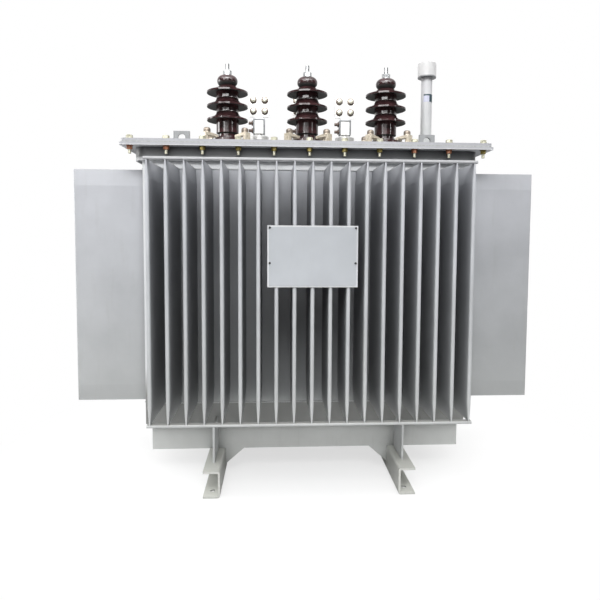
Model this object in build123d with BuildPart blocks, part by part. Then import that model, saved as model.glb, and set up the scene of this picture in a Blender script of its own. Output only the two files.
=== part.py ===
# Oil-immersed distribution transformer with a finned tank.
# Frame: X along the tank, Y from front to back, Z up, origin under the middle at ground level.
# All sizes are in millimetres.
import os

from build123d import *

os.makedirs("parts", exist_ok=True)

# Tank: its walls are as long as their fins ask, with a flat stretch beyond the last fin
tank_height = 863
tank_corner_radius = 16
long_wall_flat = 40.5
short_wall_flat = 23.5

# Corrugated walls: fins folded from sheet, their ends pressed flat and welded
fin_pitch = 50
long_fin_depth = 208
short_fin_depth = 218
fin_start = 69
fin_stop = 64
fin_thickness = 11
fin_end_thickness = 4
fin_pinch = 50
fin_sheet = 3
long_fin_count = 19
short_fin_count = 8

# Round-edged flat bars that tie the fin ends on the long sides
bar_height = 8
bar_depth = 20
bar_edge_round = 2.5
bar_end = 3

# Base box and skids
base_height = 90
base_end_setback = 17
base_side_setback = 28
skid_height = 80
skid_flange = 50
skid_thickness = 6
skid_bend_radius = 8
skid_gauge = 576
skid_setback = 56
skid_hole_radius = 8
skid_hole_from_end = 40
stiffener_thickness = 6
stiffener_reach = 88
stiffener_rise = 25
gusset_width = 60
gusset_height = 52
gusset_thickness = 6

# Neck frame round the tank's top, with flange, gasket and cover on it
neck_height = 41
neck_end_proud = 21
neck_side_proud = 12
neck_corner_radius = 40
flange_thickness = 8
flange_overhang = 34
flange_corner_radius = 8
gasket_thickness = 4
gasket_width = 35
cover_thickness = 8
cover_setback = 3
cover_corner_radius = 15

# High-voltage bushings: porcelain with three sheds, a row in front of the tank's middle
hv_count = 3
hv_pitch = 260
hv_row_setback = 115
hv_foot_radius = 54
hv_foot_height = 24
hv_foot_slope = 10
hv_groove_radius = 29
hv_groove_height = 7
hv_body_radius = 36
hv_body_round = 4
hv_skirt_height = 43
hv_shed_count = 3
hv_shed_radius = 66
hv_shed_rise = 21
hv_shed_edge = 5
hv_throat_radius = 24
hv_throat_height = 25
hv_knob_radius = 33
hv_knob_height = 32
hv_knob_top_radius = 20
hv_height = 229
hv_stud_radius = 6.5
hv_stud_length = 38
hv_nut_flats = 24
hv_nut_height = 13
hv_washer_radius = 14
hv_washer_thickness = 3

# Clamps that press each high-voltage foot down
clamp_count = 4
clamp_circle_radius = 84
clamp_width = 20
clamp_heel = 14
clamp_toe = 38
clamp_thickness = 9
clamp_drop = 4
clamp_stud_radius = 6
clamp_nut_radius = 11
clamp_nut_height = 16
clamp_nut_round = 7

# Low-voltage terminals behind them
lv_count = 4
lv_pitch = 152
lv_row_shift = 66
lv_row_setback = 180
lv_radius = 32
lv_shed_radius = 40
lv_shed_level = 19
lv_shed_edge = 10
lv_shed_rise = 15
lv_height = 58
lv_stud_radius = 10
lv_block_width = 36
lv_block_depth = 30
lv_block_height = 49
lv_block_level = 71
lv_block_round = 3
lv_bolt_radius = 5
lv_bolt_reach = 12
lv_bolt_head_radius = 8
lv_bolt_head_height = 6
lv_bolt_spacing = 26
palm_neck_width = 28
palm_neck_height = 10
palm_width = 70
palm_height = 78
palm_thickness = 8
palm_hole_radius = 6.5
palm_hole_pitch_x = 40
palm_hole_pitch_z = 38
palm_corner_radius = 4

# Oil filler
filler_from_end = 114
filler_setback = 120
filler_radius = 18
filler_wall = 3
filler_height = 255
filler_foot_radius = 26
filler_foot_height = 14
filler_cap_radius = 30
filler_cap_height = 30
filler_cap_lap = 18
filler_cap_round = 3

# Lifting lugs on the cover
lug_from_end = 179
lug_from_side = 88
lug_pair_shift = -8
lug_width = 50
lug_height = 37
lug_thickness = 10
lug_hole_radius = 11.5
lug_hole_level = 17

# Nameplate on its bracket, in front of the fins
bracket_width = 250
bracket_height = 170
bracket_thickness = 2
bracket_drop = 175
nameplate_margin = 4
nameplate_thickness = 1

# Levels and places that follow from the sizes above
tank_length = (long_fin_count - 1) * fin_pitch + fin_thickness + 2 * (long_wall_flat + tank_corner_radius)
tank_depth = (short_fin_count - 1) * fin_pitch + fin_thickness + 2 * (short_wall_flat + tank_corner_radius)
fin_height = tank_height - fin_start - fin_stop
base_bottom = skid_height
tank_bottom = base_bottom + base_height
fin_bottom = tank_bottom + fin_start
fin_top = fin_bottom + fin_height
fin_middle = fin_bottom + fin_height / 2
flange_bottom = tank_bottom + tank_height
gasket_bottom = flange_bottom + flange_thickness
cover_bottom = gasket_bottom + gasket_thickness
cover_top = cover_bottom + cover_thickness
front_wall_y = -tank_depth / 2
fin_front_y = front_wall_y - long_fin_depth
neck_length = tank_length + 2 * neck_end_proud
neck_depth = tank_depth + 2 * neck_side_proud
flange_length = neck_length + 2 * flange_overhang
flange_depth = neck_depth + 2 * flange_overhang
cover_length = flange_length - 2 * cover_setback
cover_depth = flange_depth - 2 * cover_setback
skid_half_length = -fin_front_y - skid_setback
hv_row_y = front_wall_y + hv_row_setback
lv_row_y = -front_wall_y - lv_row_setback
filler_x = tank_length / 2 - filler_from_end
filler_y = front_wall_y + filler_setback
foot_slope_ratio = hv_foot_slope / (hv_foot_radius - hv_groove_radius)
lug_x = flange_length / 2 - lug_from_end
lug_y = flange_depth / 2 - lug_from_side


# Writes one finished piece under its own name.
def save(piece, name):
    piece.part.label = name
    export_step(piece.part, f"parts/{name}.step")


# Plane on an outer tank wall, at the fins' middle height: x runs along the wall, z points out.
def wall_plane(x, y, along, outward):
    return Plane(origin=(x, y, fin_middle), x_dir=along, z_dir=outward)


front_plane = wall_plane(0, front_wall_y, (1, 0, 0), (0, -1, 0))
back_plane = wall_plane(0, -front_wall_y, (-1, 0, 0), (0, 1, 0))
left_plane = wall_plane(-tank_length / 2, 0, (0, -1, 0), (-1, 0, 0))
right_plane = wall_plane(tank_length / 2, 0, (0, 1, 0), (1, 0, 0))
long_sheet = tank_length - 2 * tank_corner_radius
short_sheet = tank_depth - 2 * tank_corner_radius

# Tank body up to the flange's top face, with a shallow seat for each corrugated wall
with BuildPart() as tank_body:
    with BuildSketch(Plane.XY.offset(tank_bottom)):
        RectangleRounded(tank_length, tank_depth, tank_corner_radius)
    extrude(amount=tank_height + flange_thickness)
    for plane, sheet in (
        (front_plane, long_sheet),
        (back_plane, long_sheet),
        (left_plane, short_sheet),
        (right_plane, short_sheet),
    ):
        with BuildSketch(plane):
            Rectangle(sheet, fin_height)
        extrude(amount=-fin_sheet, mode=Mode.SUBTRACT)
save(tank_body, "tank_body")

# Sections of one fin from its lower to its upper end: level from its middle, and thickness there
fin_sections = (
    (-fin_height / 2, fin_end_thickness),
    (-fin_height / 2 + fin_pinch, fin_thickness),
    (fin_height / 2 - fin_pinch, fin_thickness),
    (fin_height / 2, fin_end_thickness),
)


# One fin, standing out along z with its height along y: a round-nosed pocket, pressed flat at both ends.
def folded_fin(depth):
    with BuildPart() as fin:
        for level, thickness in fin_sections:
            nose = thickness / 2
            with BuildSketch(Plane(origin=(0, level, 0), x_dir=(1, 0, 0), z_dir=(0, -1, 0))):
                with BuildLine():
                    side = Polyline(
                        (-nose, depth - nose),
                        (-nose, -fin_sheet / 2),
                        (nose, -fin_sheet / 2),
                        (nose, depth - nose),
                    )
                    ThreePointArc(side @ 0, (0, depth), side @ 1)
                make_face()
        loft(ruled=True)
    return fin


# Corrugated wall: a sheet that closes one side of the tank, with its row of fins.
def corrugated_wall(name, plane, fin_count, sheet, fin):
    with BuildPart() as wall:
        with BuildSketch(plane):
            Rectangle(sheet, fin_height)
        extrude(amount=-fin_sheet)
        with Locations(plane):
            with GridLocations(fin_pitch, fin_pitch, fin_count, 1):
                add(fin.part)
    save(wall, name)


long_side_fin = folded_fin(long_fin_depth)
short_side_fin = folded_fin(short_fin_depth)
corrugated_wall("front_fins", front_plane, long_fin_count, long_sheet, long_side_fin)
corrugated_wall("back_fins", back_plane, long_fin_count, long_sheet, long_side_fin)
corrugated_wall("left_fins", left_plane, short_fin_count, short_sheet, short_side_fin)
corrugated_wall("right_fins", right_plane, short_fin_count, short_sheet, short_side_fin)

# Bars above and below the fin ends of both long sides
bar_length = (long_fin_count - 1) * fin_pitch + fin_thickness + 2 * bar_end
bar_y = fin_front_y + bar_depth / 2
for side_name, y in (("front", bar_y), ("back", -bar_y)):
    for level_name, level in (("top", fin_top), ("bottom", fin_bottom - bar_height)):
        with BuildPart() as bar:
            with BuildSketch(Plane.YZ):
                with Locations((y, level + bar_height / 2)):
                    RectangleRounded(bar_depth, bar_height, bar_edge_round)
            extrude(amount=bar_length / 2, both=True)
        save(bar, f"{side_name}_{level_name}_bar")

# Neck frame, a band round the tank's top that carries the flange
with BuildPart() as tank_neck:
    with BuildSketch(Plane.XY.offset(flange_bottom - neck_height)):
        RectangleRounded(neck_length, neck_depth, neck_corner_radius)
        RectangleRounded(tank_length, tank_depth, tank_corner_radius, mode=Mode.SUBTRACT)
    extrude(amount=neck_height)
save(tank_neck, "tank_neck")

# Flange welded on the neck frame and round the tank's top
with BuildPart() as tank_flange:
    with BuildSketch(Plane.XY.offset(flange_bottom)):
        RectangleRounded(flange_length, flange_depth, flange_corner_radius)
        RectangleRounded(tank_length, tank_depth, tank_corner_radius, mode=Mode.SUBTRACT)
    extrude(amount=flange_thickness)
save(tank_flange, "tank_flange")

# Gasket frame between flange and cover, cut flush with the cover's edge
with BuildPart() as cover_gasket:
    with BuildSketch(Plane.XY.offset(gasket_bottom)):
        RectangleRounded(cover_length, cover_depth, cover_corner_radius)
        Rectangle(
            cover_length - 2 * gasket_width,
            cover_depth - 2 * gasket_width,
            mode=Mode.SUBTRACT,
        )
    extrude(amount=gasket_thickness)
save(cover_gasket, "cover_gasket")

# Cover plate
with BuildPart() as tank_cover:
    with BuildSketch(Plane.XY.offset(cover_bottom)):
        RectangleRounded(cover_length, cover_depth, cover_corner_radius)
    extrude(amount=cover_thickness)
save(tank_cover, "tank_cover")

# Base box between tank and skids
with BuildPart() as base_box:
    with BuildSketch(Plane.XY.offset(base_bottom)):
        Rectangle(tank_length - 2 * base_end_setback, tank_depth - 2 * base_side_setback)
    extrude(amount=base_height)
save(base_box, "base_box")

# Skids: channels that open outwards, their webs on the inner side, drilled for holding-down bolts
web_x = skid_gauge / 2 - skid_flange / 2
skid_hole_y = skid_half_length - skid_hole_from_end
for side_name, sign in (("left", -1), ("right", 1)):
    with BuildPart() as skid:
        with BuildSketch(Plane.XZ):
            with BuildLine():
                outer = FilletPolyline(
                    (sign * (web_x + skid_flange), 0),
                    (sign * web_x, 0),
                    (sign * web_x, skid_height),
                    (sign * (web_x + skid_flange), skid_height),
                    radius=skid_bend_radius,
                )
                inner = FilletPolyline(
                    (sign * (web_x + skid_flange), skid_thickness),
                    (sign * (web_x + skid_thickness), skid_thickness),
                    (sign * (web_x + skid_thickness), skid_height - skid_thickness),
                    (sign * (web_x + skid_flange), skid_height - skid_thickness),
                    radius=skid_bend_radius - skid_thickness,
                )
                Line(outer @ 0, inner @ 0)
                Line(outer @ 1, inner @ 1)
            make_face()
        extrude(amount=skid_half_length, both=True)
        with Locations((sign * skid_gauge / 2, 0, skid_thickness / 2)):
            with GridLocations(0, 2 * skid_hole_y, 1, 2):
                Cylinder(skid_hole_radius, skid_thickness, mode=Mode.SUBTRACT)
    save(skid, f"{side_name}_skid")

# Upright stiffeners on the skids' top flanges, against base box and tank wall
stiffener_front = front_wall_y - stiffener_reach
stiffener_top = tank_bottom + stiffener_rise
base_front_y = front_wall_y + base_side_setback
for end_name, end in (("front", 1), ("back", -1)):
    with BuildPart() as stiffeners:
        for sign in (-1, 1):
            with BuildSketch(Plane.YZ.offset(sign * skid_gauge / 2)):
                Polygon(
                    (end * stiffener_front, skid_height),
                    (end * base_front_y, skid_height),
                    (end * base_front_y, tank_bottom),
                    (end * front_wall_y, tank_bottom),
                    (end * front_wall_y, stiffener_top),
                    (end * stiffener_front, stiffener_top),
                    align=None,
                )
            extrude(amount=stiffener_thickness / 2, both=True)
    save(stiffeners, f"{end_name}_stiffeners")

# Three-cornered gussets between the skids' webs and the base box's underside
for end_name, end in (("front", 1), ("back", -1)):
    gusset_y = end * (base_front_y + gusset_thickness / 2)
    with BuildPart() as gussets:
        for sign in (-1, 1):
            with BuildSketch(Plane.XZ.offset(-gusset_y)):
                Polygon(
                    (sign * web_x, base_bottom),
                    (sign * (web_x - gusset_width), base_bottom),
                    (sign * web_x, base_bottom - gusset_height),
                    align=None,
                )
            extrude(amount=gusset_thickness / 2, both=True)
    save(gussets, f"{end_name}_gussets")

# One clamp at its place along x from the bushing's axis; the toe rests on the foot's rim
heel_x = clamp_circle_radius + clamp_heel
toe_x = clamp_circle_radius - clamp_toe
finger_top = hv_foot_height + clamp_drop + clamp_thickness
stud_plane = Plane(origin=(clamp_circle_radius, 0, 0))
with BuildPart() as hv_clamp:
    with BuildSketch(stud_plane.offset(finger_top)):
        Circle(clamp_nut_radius)
    extrude(amount=clamp_nut_height)
    fillet(hv_clamp.edges().group_by(Axis.Z)[-1], clamp_nut_round)
    with BuildSketch(stud_plane):
        Circle(clamp_stud_radius)
    extrude(amount=finger_top)
    with BuildSketch(Plane.XZ):
        Polygon(
            (heel_x, 0),
            (heel_x, finger_top),
            (clamp_circle_radius - clamp_nut_radius, finger_top),
            (toe_x, finger_top - clamp_drop),
            (toe_x, hv_foot_height + (hv_foot_radius - toe_x) * foot_slope_ratio),
            (hv_foot_radius, hv_foot_height),
            (hv_foot_radius + clamp_thickness / 2, hv_foot_height + clamp_drop),
            (heel_x - clamp_thickness, hv_foot_height + clamp_drop),
            (heel_x - clamp_thickness, 0),
            align=None,
        )
    extrude(amount=clamp_width / 2, both=True)

# High-voltage bushings, their studs and their clamps
for index in range(hv_count):
    hv_x = (index - (hv_count - 1) / 2) * hv_pitch
    hv_plane = Plane(origin=(hv_x, hv_row_y, cover_top))

    # Porcelain: foot, groove, body with drooping sheds, and a barrel knob, turned about the bushing's axis
    groove_bottom = hv_foot_height + hv_foot_slope
    body_bottom = groove_bottom + hv_groove_height
    knob_bottom = hv_height - hv_knob_height
    first_shed = body_bottom + hv_skirt_height
    last_shed = knob_bottom - hv_throat_height
    with BuildPart() as hv_porcelain:
        with BuildSketch(Plane(origin=hv_plane.origin, x_dir=(1, 0, 0), z_dir=(0, -1, 0))):
            with BuildLine():
                last = Polyline(
                    (0, 0),
                    (hv_foot_radius, 0),
                    (hv_foot_radius, hv_foot_height),
                    (hv_groove_radius, groove_bottom),
                    (hv_groove_radius, body_bottom),
                    (hv_body_radius, body_bottom + hv_body_round),
                )
                for shed in range(hv_shed_count):
                    level = first_shed + shed * (last_shed - first_shed) / (hv_shed_count - 1)
                    body = Line(last @ 1, (hv_body_radius, level + hv_shed_edge))
                    under = Line(body @ 1, (hv_shed_radius, level))
                    edge = Line(under @ 1, (hv_shed_radius, level + hv_shed_edge))
                    shed_top = (hv_body_radius, level + hv_shed_rise)
                    if shed == hv_shed_count - 1:
                        shed_top = (hv_throat_radius, knob_bottom)
                    last = TangentArc(
                        edge @ 1,
                        shed_top,
                        tangent=(hv_body_radius - hv_shed_radius, hv_shed_rise / 2),
                    )
                knob_side = (hv_knob_radius, knob_bottom + hv_knob_height / 2)
                knob = ThreePointArc(last @ 1, knob_side, (hv_knob_top_radius, hv_height))
                Polyline(knob @ 1, (0, hv_height), (0, 0))
            make_face()
        revolve(axis=Axis(hv_plane.origin, (0, 0, 1)))
    save(hv_porcelain, f"hv_bushing_{index + 1}")

    # Threaded stud with washer and nut
    with BuildPart() as hv_stud:
        with BuildSketch(hv_plane.offset(hv_height)):
            Circle(hv_washer_radius)
        extrude(amount=hv_washer_thickness)
        with BuildSketch(hv_plane.offset(hv_height + hv_washer_thickness)):
            RegularPolygon(hv_nut_flats / 2, 6, major_radius=False)
        extrude(amount=hv_nut_height)
        with BuildSketch(hv_plane.offset(hv_height)):
            Circle(hv_stud_radius)
        extrude(amount=hv_stud_length)
    save(hv_stud, f"hv_stud_{index + 1}")

    # Clamps round the foot: an arched finger from the cover to the foot's rim, a stud and a domed nut
    with BuildPart() as hv_clamps:
        with Locations(hv_plane):
            with PolarLocations(0, clamp_count, start_angle=180 / clamp_count):
                add(hv_clamp.part)
    save(hv_clamps, f"hv_clamps_{index + 1}")

# Low-voltage bushings and their flag terminals; the neutral stands at the left end
for index in range(lv_count):
    lv_x = (index - (lv_count - 1) / 2) * lv_pitch + lv_row_shift
    lv_plane = Plane(origin=(lv_x, lv_row_y, cover_top))

    # Short porcelain with one shed
    with BuildPart() as lv_porcelain:
        with BuildSketch(Plane(origin=lv_plane.origin, x_dir=(1, 0, 0), z_dir=(0, -1, 0))):
            Polygon(
                (0, 0),
                (lv_radius, 0),
                (lv_radius, lv_shed_level),
                (lv_shed_radius, lv_shed_level),
                (lv_shed_radius, lv_shed_level + lv_shed_edge),
                (lv_radius, lv_shed_level + lv_shed_edge + lv_shed_rise),
                (lv_radius, lv_height),
                (0, lv_height),
                align=None,
            )
        revolve(axis=Axis(lv_plane.origin, (0, 0, 1)))
    save(lv_porcelain, f"lv_bushing_{index + 1}")

    # Stud, clamp block with its two bolts, and drilled palm in one conductor
    with BuildPart() as lv_palm:
        with BuildSketch(lv_plane.offset(lv_height)):
            Circle(lv_stud_radius)
        extrude(amount=lv_block_level - lv_height)
        with BuildSketch(lv_plane.offset(lv_block_level)):
            RectangleRounded(lv_block_width, lv_block_depth, lv_block_round)
        extrude(amount=lv_block_height)
        bolt_start = (lv_x - lv_block_width / 2, lv_row_y, cover_top + lv_block_level + lv_block_height / 2)
        for bolt_radius, reach in (
            (lv_bolt_radius, lv_bolt_reach + lv_bolt_head_height),
            (lv_bolt_head_radius, lv_bolt_head_height),
        ):
            with BuildSketch(Plane(origin=bolt_start, x_dir=(0, 1, 0), z_dir=(-1, 0, 0))):
                with GridLocations(1, lv_bolt_spacing, 1, 2):
                    Circle(bolt_radius)
            extrude(amount=reach)
        block_top = lv_block_level + lv_block_height
        with BuildSketch(lv_plane.offset(block_top)):
            Rectangle(palm_neck_width, palm_thickness)
        extrude(amount=palm_neck_height)
        palm_bottom = block_top + palm_neck_height
        palm_centre = (lv_x, lv_row_y, cover_top + palm_bottom + palm_height / 2)
        with BuildSketch(Plane(origin=palm_centre, x_dir=(1, 0, 0), z_dir=(0, -1, 0))):
            RectangleRounded(palm_width, palm_height, palm_corner_radius)
            with GridLocations(palm_hole_pitch_x, palm_hole_pitch_z, 2, 2):
                Circle(palm_hole_radius, mode=Mode.SUBTRACT)
        extrude(amount=palm_thickness / 2, both=True)
    save(lv_palm, f"lv_palm_{index + 1}")

# Oil filler: a pipe in a welded socket, closed by a turned cap
filler_plane = Plane(origin=(filler_x, filler_y, cover_top))
with BuildPart() as filler_pipe:
    with BuildSketch(filler_plane):
        Circle(filler_foot_radius)
    extrude(amount=filler_foot_height)
    with BuildSketch(filler_plane):
        Circle(filler_radius)
    extrude(amount=filler_height)
    with BuildSketch(filler_plane.offset(filler_foot_height)):
        Circle(filler_radius - filler_wall)
    extrude(amount=filler_height, mode=Mode.SUBTRACT)
save(filler_pipe, "filler_pipe")

cap_plane = filler_plane.offset(filler_height - filler_cap_lap)
with BuildPart() as filler_cap:
    with BuildSketch(cap_plane):
        Circle(filler_cap_radius)
    extrude(amount=filler_cap_lap + filler_cap_height)
    fillet(filler_cap.edges().group_by(Axis.Z)[-1], filler_cap_round)
    with BuildSketch(cap_plane):
        Circle(filler_radius)
    extrude(amount=filler_cap_lap, mode=Mode.SUBTRACT)
save(filler_cap, "filler_cap")

# Lifting lugs: square plates with an eye, near the cover's corners
for side_name, sign in (("left", -1), ("right", 1)):
    for end_name, end in (("front", -1), ("back", 1)):
        with BuildPart() as lug:
            with BuildSketch(Plane(
                origin=(sign * lug_x + lug_pair_shift, end * lug_y, cover_top),
                x_dir=(1, 0, 0),
                z_dir=(0, -1, 0),
            )):
                with Locations((0, lug_height / 2)):
                    Rectangle(lug_width, lug_height)
                with Locations((0, lug_hole_level)):
                    Circle(lug_hole_radius, mode=Mode.SUBTRACT)
            extrude(amount=lug_thickness / 2, both=True)
        save(lug, f"{side_name}_{end_name}_lug")

# Nameplate, left blank, on a sheet bracket fixed to the fins' front edges
plate_middle = fin_top - bracket_drop - bracket_height / 2
with BuildPart() as nameplate_bracket:
    with BuildSketch(Plane(
        origin=(0, fin_front_y, plate_middle),
        x_dir=(1, 0, 0),
        z_dir=(0, -1, 0),
    )):
        Rectangle(bracket_width, bracket_height)
    extrude(amount=bracket_thickness)
save(nameplate_bracket, "nameplate_bracket")

with BuildPart() as nameplate:
    with BuildSketch(Plane(
        origin=(0, fin_front_y - bracket_thickness, plate_middle),
        x_dir=(1, 0, 0),
        z_dir=(0, -1, 0),
    )):
        Rectangle(bracket_width - 2 * nameplate_margin, bracket_height - 2 * nameplate_margin)
    extrude(amount=nameplate_thickness)
save(nameplate, "nameplate")
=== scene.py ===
import math

import bpy
from mathutils import Matrix, Vector


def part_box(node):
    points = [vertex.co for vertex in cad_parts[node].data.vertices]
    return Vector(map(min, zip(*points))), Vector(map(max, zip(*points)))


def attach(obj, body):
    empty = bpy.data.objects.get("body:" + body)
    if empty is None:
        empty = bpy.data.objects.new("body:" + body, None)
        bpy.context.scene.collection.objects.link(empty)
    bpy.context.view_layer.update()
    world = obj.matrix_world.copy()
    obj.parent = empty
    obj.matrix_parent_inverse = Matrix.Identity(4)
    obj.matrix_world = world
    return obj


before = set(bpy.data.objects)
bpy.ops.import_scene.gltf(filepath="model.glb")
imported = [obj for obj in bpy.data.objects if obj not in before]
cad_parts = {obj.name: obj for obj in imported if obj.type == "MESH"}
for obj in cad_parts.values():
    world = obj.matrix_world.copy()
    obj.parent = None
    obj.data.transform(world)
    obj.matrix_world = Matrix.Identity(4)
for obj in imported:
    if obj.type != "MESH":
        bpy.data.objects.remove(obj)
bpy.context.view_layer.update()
bpy.ops.object.select_all(action="DESELECT")
print("frame loaded:", len(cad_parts), "nodes")


# metres from millimetres
def mm(value):
    return value / 1000


# the scale of a texture whose features are about this many millimetres across
def patternScale(size):
    return 1000 / size


# an sRGB hex colour as linear RGBA
def hexColour(code):
    channels = [int(code[i:i + 2], 16) / 255 for i in (1, 3, 5)]
    linear = [c / 12.92 if c <= 0.04045 else ((c + 0.055) / 1.055) ** 2.4 for c in channels]
    return (*linear, 1.0)


# adds one node: settings are its properties, links its inputs, given as a socket or a value
def addNode(tree, kind, links=None, **settings):
    node = tree.nodes.new(kind)
    for key, value in settings.items():
        setattr(node, key, value)
    for key, value in (links or {}).items():
        socket = node.inputs[key]
        if isinstance(value, bpy.types.NodeSocket):
            tree.links.new(value, socket)
        else:
            socket.default_value = value
    return node


# a bare material with its output node and its Object coordinates; the caller adds the shader
def newMaterial(name):
    material = bpy.data.materials.new(name)
    material.use_nodes = True
    material.node_tree.nodes.clear()
    tree = material.node_tree
    output = addNode(tree, "ShaderNodeOutputMaterial")
    place = addNode(tree, "ShaderNodeTexCoord").outputs["Object"]
    return material, tree, output, place


# gives a colour ramp its stops, as pairs of position and colour
def setRamp(node, stops):
    ramp = node.color_ramp
    while len(ramp.elements) < len(stops):
        ramp.elements.new(0.5)
    for element, (position, colour) in zip(ramp.elements, stops):
        element.position = position
        element.color = colour


# light grey machine enamel, sprayed over welded steel sheet: soft sheen, faint orange peel and dirt, with
# painted shade in recesses and on what faces up
def makeEnamel(name, look):
    material, tree, output, place = newMaterial(name)
    height = addNode(tree, "ShaderNodeSeparateXYZ", {"Vector": place}).outputs["Z"]
    level = addNode(tree, "ShaderNodeMapRange", {
        "Value": height, "From Min": look["lowLevel"], "From Max": look["highLevel"],
    })
    tone = addNode(tree, "ShaderNodeMix", {
        "Factor": level.outputs["Result"],
        "A": hexColour(look["lowColour"]),
        "B": hexColour(look["highColour"]),
    }, data_type="RGBA")
    clouds = addNode(tree, "ShaderNodeTexNoise", {
        "Vector": place, "Scale": patternScale(look["cloudSize"]), "Detail": 4.0, "Roughness": 0.55,
    })
    cloudRamp = addNode(tree, "ShaderNodeValToRGB", {"Fac": clouds.outputs["Fac"]})
    setRamp(cloudRamp, ((0.3, hexColour(look["cloudDark"])), (0.7, (1, 1, 1, 1))))
    clouded = addNode(tree, "ShaderNodeMix", {
        "Factor": 1.0, "A": tone.outputs["Result"], "B": cloudRamp.outputs["Color"],
    }, data_type="RGBA", blend_type="MULTIPLY")
    # dust and grime in short vertical runs
    runPlace = addNode(tree, "ShaderNodeMapping", {
        "Vector": place, "Scale": (1.0, 1.0, look["runStretch"]),
    })
    runs = addNode(tree, "ShaderNodeTexNoise", {
        "Vector": runPlace.outputs["Vector"], "Scale": patternScale(look["runSize"]),
        "Detail": 6.0, "Roughness": 0.6,
    })
    runRamp = addNode(tree, "ShaderNodeValToRGB", {"Fac": runs.outputs["Fac"]})
    setRamp(runRamp, ((0.56, (0, 0, 0, 1)), (0.8, (look["runStrength"],) * 3 + (1,))))
    grimed = addNode(tree, "ShaderNodeMix", {
        "Factor": runRamp.outputs["Color"],
        "A": clouded.outputs["Result"],
        "B": hexColour(look["grime"]),
    }, data_type="RGBA")
    # painted shade: the colour darkens where little light reaches, as deep between the fins
    nook = addNode(tree, "ShaderNodeAmbientOcclusion", {"Distance": mm(look["shadeReach"])}, samples=6)
    nookRamp = addNode(tree, "ShaderNodeValToRGB", {"Fac": nook.outputs["AO"]})
    setRamp(nookRamp, (
        (look["shadeDeep"], hexColour(look["shadeTone"])),
        (look["shadeOpen"], (1, 1, 1, 1)),
    ))
    shaded = addNode(tree, "ShaderNodeMix", {
        "Factor": 1.0, "A": grimed.outputs["Result"], "B": nookRamp.outputs["Color"],
    }, data_type="RGBA", blend_type="MULTIPLY")
    # what faces up takes the dust colour: real dust, and on the enamel also painted shade that tones down
    # the light from above
    facing = addNode(tree, "ShaderNodeSeparateXYZ", {
        "Vector": addNode(tree, "ShaderNodeNewGeometry").outputs["Normal"],
    })
    upward = addNode(tree, "ShaderNodeMapRange", {
        "Value": facing.outputs["Z"], "From Min": 0.55, "From Max": 0.95,
        "To Max": look["dustAndShadeCover"],
    })
    dustedAndShaded = addNode(tree, "ShaderNodeMix", {
        "Factor": upward.outputs["Result"],
        "A": shaded.outputs["Result"],
        "B": hexColour(look["dustAndShade"]),
    }, data_type="RGBA")
    # orange peel is about 2 mm in life; drawn coarser so that it shows
    peel = addNode(tree, "ShaderNodeTexNoise", {
        "Vector": place, "Scale": patternScale(look["peelSize"]), "Detail": 3.0,
    })
    bump = addNode(tree, "ShaderNodeBump", {
        "Height": peel.outputs["Fac"], "Strength": look["peelStrength"], "Distance": mm(0.4),
    })
    gloss = addNode(tree, "ShaderNodeMapRange", {
        "Value": clouds.outputs["Fac"],
        "To Min": look["roughness"] - 0.06,
        "To Max": look["roughness"] + 0.08,
    })
    shader = addNode(tree, "ShaderNodeBsdfPrincipled", {
        "Base Color": dustedAndShaded.outputs["Result"],
        "Roughness": gloss.outputs["Result"],
        "Normal": bump.outputs["Normal"],
        "IOR": 1.5,
        "Specular IOR Level": look["specularLevel"],
    })
    tree.links.new(shader.outputs["BSDF"], output.inputs["Surface"])
    return material


# levels are heights in metres; sizes and reaches are millimetres
enamelLook = {
    "lowLevel": 0.1, "highLevel": 1.05, "lowColour": "#c3c5c0", "highColour": "#bebfc4",
    "cloudSize": 160, "cloudDark": "#eeeeee",
    "runSize": 22, "runStretch": 0.12, "runStrength": 0.16, "grime": "#8f8e86",
    "peelSize": 6, "peelStrength": 0.25, "roughness": 0.42, "specularLevel": 0.28,
    # the shade values give the painted shade in recesses: its reach, its tone, and the occlusion levels
    # where it is full and where it ends
    "shadeReach": 120, "shadeTone": "#aeafb1", "shadeDeep": 0.06, "shadeOpen": 0.6,
    "dustAndShade": "#8b8b88", "dustAndShadeCover": 0.85,
}
# painted shade: the fins are painted darker towards their foot
finLook = dict(
    enamelLook, lowLevel=0.25, highLevel=0.9, lowColour="#bfc1c1", highColour="#c9cbd0",
    shadeOpen=0.72,
)
# painted shade: the end fins are a darker copy of the fin enamel
endFinLook = dict(finLook, lowColour="#b2b4b4", highColour="#c4c6cb")
rightFinLook = dict(finLook, lowColour="#a8aaaa", highColour="#b8babf")  # painted shade: the right end is a darker copy still
# painted shade and painted light: the wall between the fins is painted dark towards its foot and extra
# pale above it, up under the top bar
tankLook = dict(
    enamelLook, lowLevel=0.262, highLevel=0.35, lowColour="#8b8c8a", highColour="#e4e6e8",
    shadeTone="#f4f4f4", shadeOpen=0.35,
)
# pale along its lower edge as painted light, dark under the flange as painted shade
neckLook = dict(
    enamelLook, lowLevel=0.999, highLevel=1.005, lowColour="#e4e6e8", highColour="#989a9c",
    shadeReach=45, shadeTone="#3f4041", shadeDeep=0.35, shadeOpen=1.0,
)
# painted highlight: a pale band along the flange's lowest lip
flangeLook = dict(
    enamelLook, lowLevel=1.0345, highLevel=1.0365, lowColour="#dcdddf", highColour="#bebfc4",
    shadeReach=10,
)
# painted shade: the bars are a darker copy of the enamel, to tone down how bright they light up
barLook = dict(enamelLook, lowColour="#bbbdbc", highColour="#bebfc2", shadeReach=10)
stiffenerLook = dict(enamelLook, lowColour="#cdcfcf", highColour="#cdcfcf", shadeReach=10)
weldLook = dict(enamelLook, lowColour="#bcbebe", highColour="#c9cbcd", shadeReach=5)
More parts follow.
